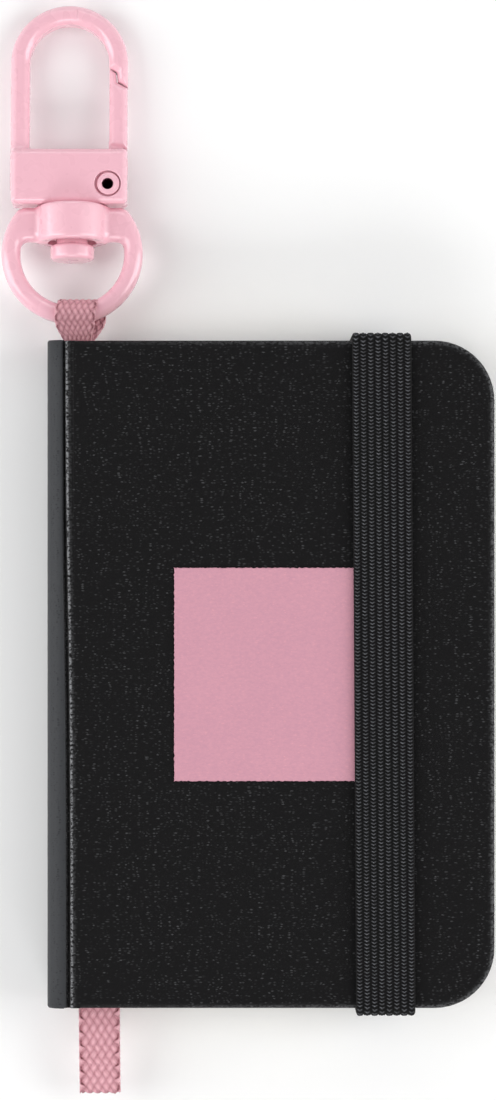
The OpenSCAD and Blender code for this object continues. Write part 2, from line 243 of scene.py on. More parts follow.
class Paint:
    """A material's node tree. Its coordinates are the object's own, in millimetres."""

    def __init__(self, name, color, roughness, **fixed):
        self.material = bpy.data.materials.new(name)
        self.material.use_nodes = True
        self.tree = self.material.node_tree
        self.shader = self.tree.nodes["Principled BSDF"]
        self.shader.inputs["Base Color"].default_value = (*color, 1)
        self.shader.inputs["Roughness"].default_value = roughness
        for socket, value in fixed.items():
            self.shader.inputs[socket.replace("_", " ")].default_value = value
        self.place = self.scaled((1, 1, 1))

    def add(self, kind, *inputs, **settings):
        """A new node; its inputs are given in order as values or as sockets, with None for one left alone."""
        made = self.tree.nodes.new(kind)
        for name, value in settings.items():
            setattr(made, name, value)
        for socket, value in zip(made.inputs, inputs):
            if value is not None:
                self.feed(socket, value)
        return made

    def feed(self, socket, value):
        """Links a socket to another one, or sets it to a fixed number or colour."""
        if isinstance(value, bpy.types.NodeSocket):
            self.tree.links.new(value, socket)
        elif socket.type == "RGBA":
            socket.default_value = (*value, 1)
        else:
            socket.default_value = value

    def scaled(self, per_mm, source="Object"):
        """Coordinates with that many units to the millimetre along each axis."""
        coordinates = self.add("ShaderNodeTexCoord").outputs[source]
        factor = 1 / MM if source == "Object" else 1
        made = self.add("ShaderNodeMapping", coordinates)
        made.inputs["Scale"].default_value = tuple(c * factor for c in per_mm)
        return made.outputs["Vector"]

    def noise(self, per_mm, detail=3.0, roughness=0.5, source="Object"):
        """Noise with that many waves to the millimetre along each axis."""
        made = self.add("ShaderNodeTexNoise", self.scaled(per_mm, source))
        made.inputs["Scale"].default_value = 1.0
        made.inputs["Detail"].default_value = detail
        made.inputs["Roughness"].default_value = roughness
        return made.outputs[0]

    def math(self, operation, a, b=0.0, c=0.0):
        return self.add("ShaderNodeMath", a, b, c, operation=operation).outputs[0]

    def ramp(self, value, low, high, to_low=0.0, to_high=1.0):
        """Turns low..high into to_low..to_high and holds what is past either end."""
        return self.add("ShaderNodeMapRange", value, low, high, to_low, to_high).outputs[0]

    def mix(self, factor, a, b):
        made = self.add("ShaderNodeMix", data_type="RGBA")
        for number, value in ((0, factor), (6, a), (7, b)):
            self.feed(made.inputs[number], value)
        return made.outputs[2]

    def attribute(self, name):
        return self.add("ShaderNodeAttribute", attribute_name=name).outputs["Fac"]

    def color(self, value):
        self.tree.links.new(value, self.shader.inputs["Base Color"])

    def roughness(self, value):
        self.tree.links.new(value, self.shader.inputs["Roughness"])

    def bump(self, height, depth):
        """Raises the surface by up to depth millimetres."""
        made = self.add("ShaderNodeBump")
        made.inputs["Strength"].default_value = 1.0
        made.inputs["Distance"].default_value = depth * MM
        self.tree.links.new(height, made.inputs["Height"])
        self.tree.links.new(made.outputs[0], self.shader.inputs["Normal"])


def leather_dashes(paint):
    """Short raised dashes across the cover, gathered in wavy rows that run up it.

    Gives 1 on a dash and 0 between dashes.
    """
    sway = paint.noise((0.16, 0.3, 0.3), detail=2)
    split = paint.add("ShaderNodeSeparateXYZ", paint.place)
    across = paint.math("MULTIPLY_ADD", sway, ROW_SWAY, split.outputs[0])
    wave = paint.math("SINE", paint.math("MULTIPLY", across, 2 * math.pi / ROW_PITCH))
    rows = paint.ramp(wave, -0.8, 0.6, 0.3, 1)
    bent = paint.add("ShaderNodeCombineXYZ", across, split.outputs[1], split.outputs[2]).outputs[0]
    stretched = paint.add("ShaderNodeMapping", bent)
    stretched.inputs["Scale"].default_value = DASH_CELLS
    cells = paint.add("ShaderNodeTexVoronoi", stretched.outputs[0])
    cells.inputs["Scale"].default_value = 1
    cells.inputs["Randomness"].default_value = 0.6
    dot = paint.ramp(cells.outputs["Distance"], 0.1, 0.43, 1, 0)
    draw = paint.add("ShaderNodeSeparateXYZ", cells.outputs["Color"]).outputs[0]
    chance = paint.ramp(draw, -0.4, 0.7)
    patchy = paint.ramp(paint.noise((0.35, 0.22, 0.35), detail=2), 0.32, 0.58, 0.6, 1)
    return paint.math("MULTIPLY", paint.math("MULTIPLY", dot, rows), paint.math("MULTIPLY", chance, patchy))


def leatherette(name, base, light, dash=1.0, gloss=0.5):
    """Black book cloth: a painted highlight on its raised dashes, and a speckled painted highlight, with some wear
    from rubbing, where the surface stands up.
    """
    paint = Paint(name, base, gloss, Specular_IOR_Level=0.12)
    marks = leather_dashes(paint)
    pores = paint.noise((7, 9, 9), detail=4, roughness=0.6)
    rise_and_light = paint.attribute("rise_and_light")
    speckle = paint.ramp(paint.noise((2.6, 3.6, 3), detail=2), 0.4, 0.58)
    # Painted highlight, speckled and with some wear from rubbing, on the covers' rounded rims and the groove's
    # ridge.
    highlight_and_wear = paint.math("MULTIPLY", rise_and_light, speckle)
    # Painted highlight: the grain's raised dashes are painted lighter than the cloth.
    dash_highlighted = paint.mix(paint.ramp(paint.math("MULTIPLY", marks, dash), 0, 1), base, light)
    paint.color(paint.mix(paint.ramp(highlight_and_wear, 0, 1), dash_highlighted, tuple(3.5 * c for c in light)))
    paint.roughness(paint.ramp(pores, 0.3, 0.7, gloss - 0.06, gloss + 0.1))
    paint.bump(paint.math("MULTIPLY_ADD", pores, 0.4, marks), 0.03)
    return paint.material


def pink_leatherette(name):
    """The patch: the same grain in matt pink, with a painted highlight on its raised dashes and a few deeper
    specks.
    """
    base, light, speck = (0.53, 0.265, 0.345), (0.68, 0.335, 0.4), (0.36, 0.17, 0.22)
    paint = Paint(name, base, 0.7, Specular_IOR_Level=0.25)
    marks = leather_dashes(paint)
    grain = paint.noise((2.4, 4, 4), detail=4, roughness=0.65)
    broad = paint.noise((0.12, 0.12, 0.12), detail=2)
    specks = paint.ramp(paint.noise((1.6, 1.6, 1.6), detail=1), 0.79, 0.82)
    tone_and_light = paint.math("MULTIPLY_ADD", broad, 0.3, paint.ramp(grain, 0.3, 0.7, 0, 0.5))
    # Painted highlight: the raised dashes are painted lighter.
    tone_and_light = paint.math("MULTIPLY_ADD", marks, 0.8, tone_and_light)
    grained = paint.mix(paint.ramp(tone_and_light, 0, 1), base, light)
    paint.color(paint.mix(paint.math("MULTIPLY", specks, 0.4), grained, speck))
    paint.roughness(paint.ramp(grain, 0.3, 0.7, 0.6, 0.8))
    paint.bump(paint.math("MULTIPLY_ADD", grain, 0.6, marks), 0.03)
    return paint.material


def knitted_elastic(name):
    """Charcoal elastic, with painted shade between the ribs and a painted highlight in light grey specks where the
    stitches stand up.
    """
    # Colours: the painted shade of the valleys, the band's own charcoal, and the painted highlight on the crests.
    valley_shade, mid, fleck = (0.001, 0.001, 0.0012), (0.015, 0.0145, 0.016), (0.27, 0.28, 0.305)
    paint = Paint(name, mid, 0.8, Specular_IOR_Level=0.2, Sheen_Weight=0.04, Sheen_Roughness=0.5)
    rise_and_light = paint.attribute("rise_and_light")
    fuzz = paint.noise((2.2, 3.5, 2.2), detail=4, roughness=0.7)
    # Painted shade: the low parts between the ribs go near black.
    body = paint.mix(paint.ramp(rise_and_light, 0.35, 0.8), valley_shade, mid)
    # Painted highlight: light grey specks on the stitches' crests, broken up by fuzz noise.
    crest_highlights = paint.math("MULTIPLY", paint.ramp(rise_and_light, 0.55, 1), paint.ramp(fuzz, 0.36, 0.66, 0.1, 0.7))
    paint.color(paint.mix(crest_highlights, body, fleck))
    paint.bump(fuzz, 0.03)
    return paint.material


def pink_yarn(name):
    """Satin yarn: fine fibres along each strand, with painted shade at its edges and where it runs under another
    strand, and a painted highlight along its top.
    """
    yarn_shade, base, light = (0.28, 0.095, 0.12), (0.61, 0.28, 0.325), (0.87, 0.5, 0.56)
    paint = Paint(name, base, 0.5, Specular_IOR_Level=0.35, Sheen_Weight=0.25, Sheen_Roughness=0.4)
    fibres = paint.noise((9, 0.9, 1), detail=3, roughness=0.6, source="UV")
    rise_and_light = paint.attribute("rise_and_light")
    # Fibre noise plus the painted light that the braid stores on its vertices.
    tone_and_light = paint.math("MULTIPLY_ADD", paint.ramp(fibres, 0.3, 0.7, -0.5, 0.5), 0.45, rise_and_light)
    body = paint.mix(paint.ramp(tone_and_light, 0.2, 0.6), yarn_shade, base)
    paint.color(paint.mix(paint.ramp(tone_and_light, 0.6, 1.1), body, light))
    paint.roughness(paint.ramp(fibres, 0.3, 0.7, 0.4, 0.62))
    paint.bump(fibres, 0.05)
    return paint.material


def pink_enamel(name):
    """Glossy enamel with a faint orange peel and the slightest clouding."""
    base, pale, mottle = (0.888, 0.498, 0.583), (0.896, 0.508, 0.593), (0.86, 0.47, 0.555)
    paint = Paint(name, base, 0.26, Specular_IOR_Level=0.5, Coat_Weight=0.8, Coat_Roughness=0.08)
    cloud = paint.noise((0.18, 0.18, 0.18), detail=0)
    film = paint.noise((0.5, 0.5, 0.5), detail=0)
    peel = paint.noise((0.8, 0.8, 0.8), detail=0)
    cloudy = paint.mix(paint.ramp(cloud, 0.1, 0.9), base, pale)
    paint.color(paint.mix(paint.ramp(film, 0.1, 0.9, 0, 0.1), cloudy, mottle))
    paint.roughness(paint.ramp(peel, 0.1, 0.9, 0.25, 0.31))
    paint.bump(peel, 0.0005)
    return paint.material


def painted_bore_shade(name):
    """A near-black maroon lining for the rivet's hole: painted shade, with noise in its colour."""
    paint = Paint(name, (0.03, 0.006, 0.012), 0.7, Specular_IOR_Level=0.1)
    mottle = paint.noise((5, 5, 5), detail=3)
    paint.color(paint.mix(mottle, (0.02, 0.004, 0.008), (0.06, 0.015, 0.025)))
    paint.bump(mottle, 0.02)
    return paint.material


def paper(name, base, shade, fibre=5.0):
    paint = Paint(name, base, 0.9, Specular_IOR_Level=0.15)
    fibres = paint.noise((fibre * 0.3, fibre, fibre), detail=5, roughness=0.7)
    cloud = paint.noise((0.08, 0.08, 0.08), detail=2)
    paint.color(paint.mix(paint.ramp(paint.math("MULTIPLY", fibres, cloud), 0.12, 0.4), shade, base))
    paint.roughness(paint.ramp(fibres, 0.3, 0.7, 0.82, 0.95))
    paint.bump(fibres, 0.01)
    return paint.material


def grey_board(name):
    base, fleck = (0.36, 0.31, 0.24), (0.2, 0.17, 0.13)
    paint = Paint(name, base, 0.95, Specular_IOR_Level=0.1)
    layers = paint.noise((1.2, 1.2, 9), detail=4, roughness=0.7)
    paint.color(paint.mix(paint.ramp(layers, 0.35, 0.65), fleck, base))
    paint.bump(layers, 0.06)
    return paint.material


def woven(name, base, shade, per_mm):
    """Plain weave: two sets of crossed ribs."""
    paint = Paint(name, base, 0.9, Specular_IOR_Level=0.15)
    split = paint.add("ShaderNodeSeparateXYZ", paint.place)
    up = paint.math("SINE", paint.math("MULTIPLY", split.outputs[1], per_mm * 2 * math.pi))
    over = paint.math("SINE", paint.math("MULTIPLY", split.outputs[2], per_mm * 2 * math.pi))
    ribs = paint.math("MULTIPLY", up, over)
    paint.color(paint.mix(paint.ramp(ribs, -0.6, 0.6), shade, base))
    paint.bump(ribs, 0.05)
    return paint.material


def spring_wire(name):
    paint = Paint(name, (0.6, 0.6, 0.61), 0.3, Metallic=1.0)
    drawn = paint.noise((1, 12, 12), detail=3)
    paint.roughness(paint.ramp(drawn, 0.3, 0.7, 0.22, 0.4))
    paint.bump(drawn, 0.004)
    return paint.material


def pale_floor(name):
    return Paint(name, (0.96, 0.96, 0.96), 0.9, Specular_IOR_Level=0.0).material


# Ribbons: flat braids of interlaced strands

BRAID_COLUMNS = 10
BRAID_STEP = 0.86
STRAND_WIDTH = 0.94
STRAND_HEIGHT = 0.24
STRAND_SIDES = 8
BRAID_RISE = 0.1
BRAID_FACE = 0.15
STEPS_PER_COLUMN = 4


def braid(name, centre_line, half_width, paint, scale=1.0):
    """Weaves strands along a centre line.

    centre_line(s) gives, for distances s along the ribbon, its points, its across directions and its
    outward normals. half_width(s) gives half its width there. A scale below 1 makes finer strands and
    more of them.

    Each strand goes round the flat braid: across the front, over the edge and back across the rear. turn
    counts the columns it has crossed, and over is 1 in the middle of each lozenge where the strand lies
    on top, -1 where it lies underneath, and 0 along the edges of the lozenges.
    """
    length = centre_line.length
    columns = round(BRAID_COLUMNS / scale)
    step = BRAID_STEP * scale
    pitch = 2 * centre_line.full_half / columns
    slope = math.hypot(pitch, step)
    angles = np.arange(STRAND_SIDES) * 2 * math.pi / STRAND_SIDES
    lateral = np.cos(angles)[None, :] * STRAND_WIDTH * scale / 2
    along = np.linspace(0, length, int(length / step * STEPS_PER_COLUMN) + 1)
    middle, sideways, outward = centre_line(along)
    narrow = half_width(along) / centre_line.full_half
    points, faces, rise_and_light_values, uvs = [], [], [], []
    rows = len(along)
    for direction in (1, -1):
        for number in range(columns):
            start = 2 * number + (0 if direction > 0 else 1)
            turn = (direction * along / step + start) % (2 * columns)
            across = 1 - np.abs(turn / columns - 1) * 2
            side = np.clip(np.sin(math.pi * turn / columns) * 3, -1, 1)
            reach = (half_width(along) - 0.12) * across
            path = middle + sideways * reach[:, None] + outward * (side * BRAID_FACE)[:, None]
            ahead = headings(path)
            up = outward * side[:, None] + sideways * (across * (1 - np.abs(side)))[:, None]
            up -= ahead * (up * ahead).sum(1)[:, None]
            up /= np.linalg.norm(up, axis=1)[:, None]
            flat = np.cross(ahead, up)
            turn_there = turn[:, None] - lateral * step / slope / pitch
            along_there = along[:, None] + direction * lateral * pitch / slope
            columns_wave = np.cos(math.pi * (turn_there - 0.5))
            rows_wave = np.cos(math.pi * (along_there / step - 0.5))
            over = direction * (columns_wave + rows_wave) / 2
            rise = np.sin(angles)[None, :] * STRAND_HEIGHT / 2 + BRAID_RISE * over
            wide = lateral * narrow[:, None]
            ring = path[:, None] + flat[:, None] * wide[..., None] + up[:, None] * rise[..., None]
            first = len(points) * rows * STRAND_SIDES
            points.append(ring.reshape(-1, 3))
            faces += grid_faces(rows, STRAND_SIDES, first, wrap=True)
            faces.append([first + k for k in range(STRAND_SIDES)])
            faces.append([first + (rows - 1) * STRAND_SIDES + k for k in range(STRAND_SIDES)])
            folded = 1 - np.abs(side)[:, None]
            # Painted light for the yarn: lighter along a strand's top side, where it lies over another and where
            # it folds round the ribbon's edge; darker underneath and where it runs under.
            rise_and_light = 0.35 + 0.3 * folded + 0.4 * over * (1 - folded) + 0.25 * np.sin(angles)[None, :]
            rise_and_light_values.append(rise_and_light.reshape(-1))
            around = np.broadcast_to(np.cos(angles)[None, :], (rows, STRAND_SIDES))
            uvs.append(np.stack([around.reshape(-1), np.repeat(along, STRAND_SIDES)], -1))
    obj = turn_outwards(mesh_object(name, np.concatenate(points), faces))
    add_attribute(obj, "rise_and_light", np.clip(np.concatenate(rise_and_light_values), 0, 1))
    layer = obj.data.uv_layers.new(name="fibre")
    corner = np.empty(len(obj.data.loops), np.int32)
    obj.data.loops.foreach_get("vertex_index", corner)
    layer.data.foreach_set("uv", np.concatenate(uvs)[corner].astype(np.float32).ravel())
    return dress(obj, paint)


class CentreLine:
    """A smooth line in the plane of Y and Z through given points, shifted sideways, for a flat ribbon."""

    def __init__(self, route, x, full_half, shift=None, flip=1):
        route = np.array(route, float)
        spans = distances(route)
        smooth = lookup(np.linspace(0, spans[-1], 600), spans, route)
        for _ in range(30):
            smooth[1:-1] = (smooth[:-2] + smooth[2:] + 2 * smooth[1:-1]) / 4
        self.at = distances(smooth)
        self.line = smooth
        self.length = float(self.at[-1])
        self.x = x
        self.full_half = full_half
        self.shift = shift or (lambda s: s * 0)
        self.flip = flip

    def __call__(self, s):
        yz = lookup(s, self.at, self.line)
        step = 0.05
        before, after = (np.clip(s + d, 0, self.length) for d in (-step, step))
        ahead = lookup(after, self.at, self.line) - lookup(before, self.at, self.line)
        ahead /= np.linalg.norm(ahead, axis=1)[:, None]
        ones, zeros = np.ones(len(s)), np.zeros(len(s))
        middle = np.stack([self.x + self.shift(s), yz[:, 0], yz[:, 1]], -1)
        sideways = np.stack([ones, zeros, zeros], -1)
        outward = np.stack([zeros, -ahead[:, 1], ahead[:, 0]], -1) * self.flip
        return middle, sideways, outward


def ribbon_core(name, centre_line, half_width, paint):
    """A thin flat strip inside a braid, so that no light comes through between the strands."""
    s = np.linspace(0.05, centre_line.length - 0.05, int(centre_line.length / 0.4))
    middle, sideways, outward = centre_line(s)
    reach = (half_width(s) - 0.35)[:, None]
    thick = 0.04
    corners = ((-1, 1), (1, 1), (1, -1), (-1, -1))
    loops = [middle + sideways * reach * a + outward * thick * b for a, b in corners]
    return dress(loft(name, np.stack(loops, 1)), paint)


BOOKMARK_FREE = 10.8
BOOKMARK_Z = 7.8


def add_bookmark(paint, core_paint):
    """The bookmark lies flat between the pages and droops past the tail of the book."""
    low, high = box_mm("bookmark_ribbon")
    tail = box_mm("front_skin")[0][1]
    route = [
        (high[1], BOOKMARK_Z),
        (tail, BOOKMARK_Z),
        (tail - 3, BOOKMARK_Z - 0.3),
        (tail - 6, BOOKMARK_Z - 1.2),
        (tail - 9, BOOKMARK_Z - 2.3),
        (tail - BOOKMARK_FREE, BOOKMARK_Z - 3),
    ]
    x = (low[0] + high[0]) / 2
    half = (high[0] - low[0]) / 2
    line = CentreLine(route, x, half, flip=-1)
    width = lambda s: half + 0 * s
    ribbon = braid("bookmark_braid", line, width, paint)
    core = ribbon_core("bookmark_core", line, width, core_paint)
    path = line(np.linspace(0, line.length, 60))[0]
    for piece in (ribbon, core):
        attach(piece, "book")
    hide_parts("bookmark_ribbon")


LOOP_SCALE = 0.75
CROSS_SHIFT = 0.6
CROSS_RUN = 3.2


def add_loop(paint, core_paint):
    """The strap runs out of the book's head, round the ring's wire and back in, gathered where it goes in."""
    tails_low, tails_high = box_mm("loop_tails")
    loop_low, loop_high = box_mm("ribbon_loop")
    head = box_mm("front_skin")[1][1]
    mid_z = (tails_low[2] + tails_high[2]) / 2
    gap = (tails_high[2] - tails_low[2]) / 4
    reach = (loop_high[2] - loop_low[2]) / 2 - 0.4
    wire_y = loop_high[1] - reach - 0.4
    wire_z = (loop_high[2] + loop_low[2]) / 2
    start = tails_low[1] + 0.3
    route = [(start, mid_z - gap), (head - 0.6, mid_z - gap), (head + 0.5, mid_z - gap * 1.1)]
    route += arc(wire_y, wire_z, reach, -90, 90, 19)
    route += [(head + 0.5, mid_z + gap * 1.1), (head - 0.6, mid_z + gap), (start, mid_z + gap)]
    full = (loop_high[0] - loop_low[0]) / 2
    tucked = (tails_high[0] - tails_low[0]) / 2 - 0.25
    x_loop = (loop_low[0] + loop_high[0]) / 2
    x_tail = (tails_low[0] + tails_high[0]) / 2
    line = CentreLine(route, 0, full, flip=-1)

    def opening(s):
        """0 inside the book, 1 where the strap passes the wire."""
        y = line(s)[0][:, 1]
        return ease(np.clip((y - head + 0.3) / (wire_y - head - 0.2), 0, 1))

    def crossing(s):
        """The two runs lie askew: the upper to one side of the lower."""
        return CROSS_SHIFT * np.sin(math.pi / 2 * np.clip((s - line.length / 2) / CROSS_RUN, -1, 1))

    def half_width(s):
        return tucked + (full - tucked) * opening(s)

    shape = CentreLine(
        route,
        x_tail,
        full,
        shift=lambda s: (x_loop - x_tail) * opening(s) - crossing(s) * opening(s) ** 0.5,
        flip=-1,
    )
    strap = braid("strap_braid", shape, half_width, paint, LOOP_SCALE)
    core = ribbon_core("strap_core", shape, half_width, core_paint)
    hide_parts("loop_tails", "ribbon_loop")
    pivot = np.array(JOINTS["strap_bend"]["pos_m"]) / MM
    start = metres(pivot[0], head, pivot[2])
    for piece in (strap, core):
        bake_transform(piece)


# Cast metal parts: smooth fields meshed where they cross zero, in the clip's own frame of U, V and W

CLIP_CENTRE = np.array(JOINTS["ring_turn"]["pos_m"]) / MM
CLIP_V = np.array(JOINTS["swivel"]["axis"])
CLIP_W = np.array(JOINTS["ring_turn"]["axis"])
CLIP_U = np.cross(CLIP_V, CLIP_W)
GATE_PIVOT = np.array(JOINTS["gate_open"]["pos_m"]) / MM - CLIP_CENTRE
RIVET_U = float(GATE_PIVOT @ CLIP_U)
RIVET_V = float(GATE_PIVOT @ CLIP_V)
FIELD_PITCH = 0.11

RING_R = 8.6
RING_IN = 6.3
RING_HALF = 1.2
RING_TOP = 5.7
BAR_LOW = 1.5
BARREL_R = 4.2
BARREL_LOW = 1.4
BARREL_TOP = 5.93
POST_R = 1.88
HEAD_R = 2.62
HEAD_LOW = -0.8
HEAD_TOP = 1.1
POST_TOP = 9.0
BOW_U = -0.4
BOW_V = 23.5
BOW_OUT = 7.13
BOW_IN = 4.83
BOW_HALF = 1.6
BODY_LEFT = -7.44
BODY_RIGHT = 6.7
BODY_LOW = 5.99
BODY_TOP = 12.75
BODY_HALF = 2.3
SLOT_HALF = 1.15
TANG_HALF = 1.05
RECESS_R = 2.95
RIVET_R = 1.1
RIVET_BORE = 0.69
FLANGE_R = 1.36
RIM_R = 0.85
COUNTERBORE_R = 1.6
KNUCKLE_R = 1.6
GATE_BORE = 1.15
SPRING_V = 10.8
SPRING_ENDS = (-2.4, 3.0)
NOSE_STEP = [(0, 23.1), (4.37, 22.96), (5.36, 22.32), (5.49, 21.15), (6.55, 20.57), (8, 19.8)]
NOSE_LINE = NOSE_STEP + [(8, 40), (0, 40)]
SLOT_LINE = [(2.6, 6.7), (6.05, 6.7), (6.25, 6.95), (6.25, 13.75), (1.2, 13.75), (1.2, 12.75), (2.6, 8.5)]


def smooth_max(a, b, k):
    """The larger of two fields, with the crease where they meet rounded over a width of k."""
    h = np.maximum(k - np.abs(a - b), 0) / k
    return np.maximum(a, b) + h * h * k / 4


def smooth_min(a, b, k):
    return -smooth_max(-a, -b, k)


def bevel(a, b, size, soft):
    """Where both fields are negative, with a flat bevel between them and soft corners."""
    return smooth_max(smooth_max(a, b, soft), (a + b + size) * math.sqrt(0.5), soft)


def rectangle(x, half_x, y, half_y, radius):
    dx = np.abs(x) - half_x + radius
    dy = np.abs(y) - half_y + radius
    return np.minimum(np.maximum(dx, dy), 0) + np.hypot(np.maximum(dx, 0), np.maximum(dy, 0)) - radius


def polygon(u, v, corners):
    """The distance to a polygon's outline, negative inside it."""
    nearest = np.full(u.shape, 1e9)
    inside = np.zeros(u.shape, bool)
    for (ax, ay), (bx, by) in zip(corners, corners[1:] + corners[:1]):
        ex, ey = bx - ax, by - ay
        t = np.clip(((u - ax) * ex + (v - ay) * ey) / (ex * ex + ey * ey), 0, 1)
        nearest = np.minimum(nearest, (u - ax - t * ex) ** 2 + (v - ay - t * ey) ** 2)
        if ey:
            inside ^= ((v > ay) != (v > by)) & (u < ax + (v - ay) * ex / ey)
    return np.where(inside, -1, 1) * np.sqrt(nearest)


def field_mesh(name, field, low, high, paint, pitch=FIELD_PITCH):
    """Meshes the surface where a field of U, V and W is zero, and draws the vertices onto it."""
    low = np.array(low, float)
    counts = np.ceil((np.array(high) - low) / pitch).astype(int) + 1
    axes = [low[k] + pitch * np.arange(counts[k]) for k in range(3)]
    grid = field(*np.meshgrid(*axes, indexing="ij"))
    cells = counts - 1
    total = np.zeros((int(np.prod(cells)), 3))
    hits = np.zeros(len(total))
    quads = []
    for a in range(3):
        b, c = (a + 1) % 3, (a + 2) % 3
        start = [slice(None)] * 3
        end = [slice(None)] * 3
        start[a], end[a] = slice(0, -1), slice(1, None)
        first, second = grid[tuple(start)], grid[tuple(end)]
        at = np.argwhere((first < 0) != (second < 0))
        f, g = first[tuple(at.T)], second[tuple(at.T)]
        points = low + pitch * at
        points[:, a] += pitch * f / (f - g)
        corners = []
        for db, dc in ((1, 1), (1, 0), (0, 0), (0, 1)):
            cell = at.copy()
            cell[:, b] -= db
            cell[:, c] -= dc
            flat = np.ravel_multi_index(cell.T, cells)
            corners.append(flat)
            hits += np.bincount(flat, minlength=len(total))
            for k in range(3):
                total[:, k] += np.bincount(flat, points[:, k], len(total))
        quad = np.stack(corners, -1)
        quad[f >= 0] = quad[f >= 0][:, ::-1]
        quads.append(quad)
    used = np.flatnonzero(hits)
    number = np.full(len(total), -1)
    number[used] = np.arange(len(used))
    points = total[used] / hits[used][:, None]
    for _ in range(3):
        points -= field_step(field, points)
    turn = np.array([CLIP_U, CLIP_V, CLIP_W])
    faces = number[np.concatenate(quads)].tolist()
    obj = turn_outwards(mesh_object(name, CLIP_CENTRE + points @ turn, faces))
    normals = field_slope(field, points) @ turn
    obj.data.normals_split_custom_set_from_vertices(normals / np.linalg.norm(normals, axis=1)[:, None])
    return dress(obj, paint)


def field_slope(field, points, d=0.01):
    return np.stack([field(*(points + e).T) - field(*(points - e).T) for e in np.eye(3) * d], -1) / (2 * d)


def field_step(field, points):
    """How far each point is from the field's surface, as a vector."""
    value = field(*points.T)
    slope = field_slope(field, points)
    steep = np.maximum((slope**2).sum(1), 0.3)
    return slope * np.clip(value / steep, -0.06, 0.06)[:, None]


def ring_field(u, v, w):
    """A D-shaped ring with a barrel across the middle of its straight side, bored for the post."""
    r, around = np.hypot(u, v), np.hypot(u, w)
    outside = smooth_max(r - RING_R, v - RING_TOP, 0.6)
    hole = smooth_max(r - RING_IN, v - BAR_LOW, 0.9)
    ring = bevel(smooth_max(outside, -hole, 0.15), np.abs(w) - RING_HALF, 0.62, 0.34)
    middle = (BARREL_LOW + BARREL_TOP) / 2
    barrel = bevel(around - BARREL_R, np.abs(v - middle) - (BARREL_TOP - BARREL_LOW) / 2, 0.25, 0.16)
    both = smooth_max(smooth_min(ring, barrel, 0.7), v - BARREL_TOP, 0.08)
    below = BARREL_LOW - 3 - v
    recess = np.maximum(smooth_max(around - RECESS_R, v - BARREL_LOW - 0.7, 0.1), below)
    both = smooth_max(both, -recess, 0.1)
    bore = np.maximum(around - POST_R - 0.05, below)
    return smooth_max(both, -bore, 0.08)


def post_field(u, v, w):
    """A slightly domed head on a shaft."""
    around = np.hypot(u, w)
    middle = (HEAD_LOW + HEAD_TOP) / 2
    dome = 0.02 * around**2
    tall = np.abs(v - middle) + dome - (HEAD_TOP - HEAD_LOW) / 2
    head = bevel(around - HEAD_R - 0.04, tall - 0.08, 0.22, 0.16)
    shaft = smooth_max(around - POST_R, np.maximum(v - POST_TOP, HEAD_TOP - 0.4 - v), 0.1)
    return smooth_min(head, shaft, 0.15)


def bow_field(u, v):
    """An arch with straight legs."""
    from_middle = np.hypot(u - BOW_U, np.maximum(v - BOW_V, 0))
    return np.abs(from_middle - (BOW_OUT + BOW_IN) / 2) - (BOW_OUT - BOW_IN) / 2


def from_rivet(u, v, shift=0.0):
    return np.hypot(u - RIVET_U - shift, v - RIVET_V)


def hook_field(u, v, w):
    """The hook: a bow that ends in a nose, on a thicker body that is slotted for the gate."""
    thick = np.abs(w)
    kept = np.minimum(u - 1, polygon(u, v, NOSE_LINE))
    bow = smooth_max(smooth_max(bow_field(u, v), kept, 0.12), BODY_LOW + 2 - v, 0.1)
    bow = bevel(bow, thick - BOW_HALF, 0.6, 0.22)
    middle_u, middle_v = (BODY_LEFT + BODY_RIGHT) / 2, (BODY_LOW + BODY_TOP) / 2
    half_u, half_v = (BODY_RIGHT - BODY_LEFT) / 2, (BODY_TOP - BODY_LOW) / 2
    block = rectangle(u - middle_u, half_u, v - middle_v, half_v, 0.55)
    block = bevel(block, thick - BODY_HALF, 0.5, 0.22)
    hook = smooth_min(bow, block, 0.45)
    hook = smooth_max(hook, -smooth_max(polygon(u, v, SLOT_LINE), thick - SLOT_HALF, 0.05), 0.1)
    rivet = from_rivet(u, v)
    hook = smooth_max(hook, -smooth_max(rivet - COUNTERBORE_R, BODY_HALF - 0.55 - thick, 0.05), 0.12)
    hook = smooth_max(hook, RIVET_R - rivet, 0.05)
    spring_hole = smooth_max(np.hypot(v - SPRING_V, w) - 1, SPRING_ENDS[0] - u, 0.05)
    post_hole = smooth_max(np.hypot(u, w) - POST_R, v - POST_TOP, 0.05)
    return smooth_max(smooth_max(hook, -spring_hole, 0.05), -post_hole, 0.05)


def gate_field(u, v, w):
    """The gate: a blade shaped like the bow's leg, on a thinner tang that turns on the rivet."""
    thick = np.abs(w)
    from_leg = np.abs(u - BOW_U - (BOW_OUT + BOW_IN) / 2)
    blade = np.maximum(from_leg - (BOW_OUT - BOW_IN) / 2 + 0.04, v - 24)
    blade = smooth_max(blade, 0.1 - polygon(u, v, NOSE_LINE), 0.1)
    foot = BODY_TOP + 0.5 - (u - 4.43) * 0.17
    blade = smooth_max(blade, foot - v, 0.1)
    blade = bevel(blade, thick - BOW_HALF + 0.1, 0.5, 0.2)
    step = BODY_TOP - 0.3
    tang_line = [(3, RIVET_V), (3, step), (4.43, step), (4.43, step + 1.3)]
    tang_line += [(6.1, step + 1.3), (6.1, RIVET_V)]
    rivet = from_rivet(u, v)
    tang = np.minimum(polygon(u, v, tang_line), rivet - KNUCKLE_R)
    tang = smooth_max(tang, thick - TANG_HALF, 0.1)
    return smooth_max(smooth_min(blade, tang, 0.1), GATE_BORE - rivet, 0.05)


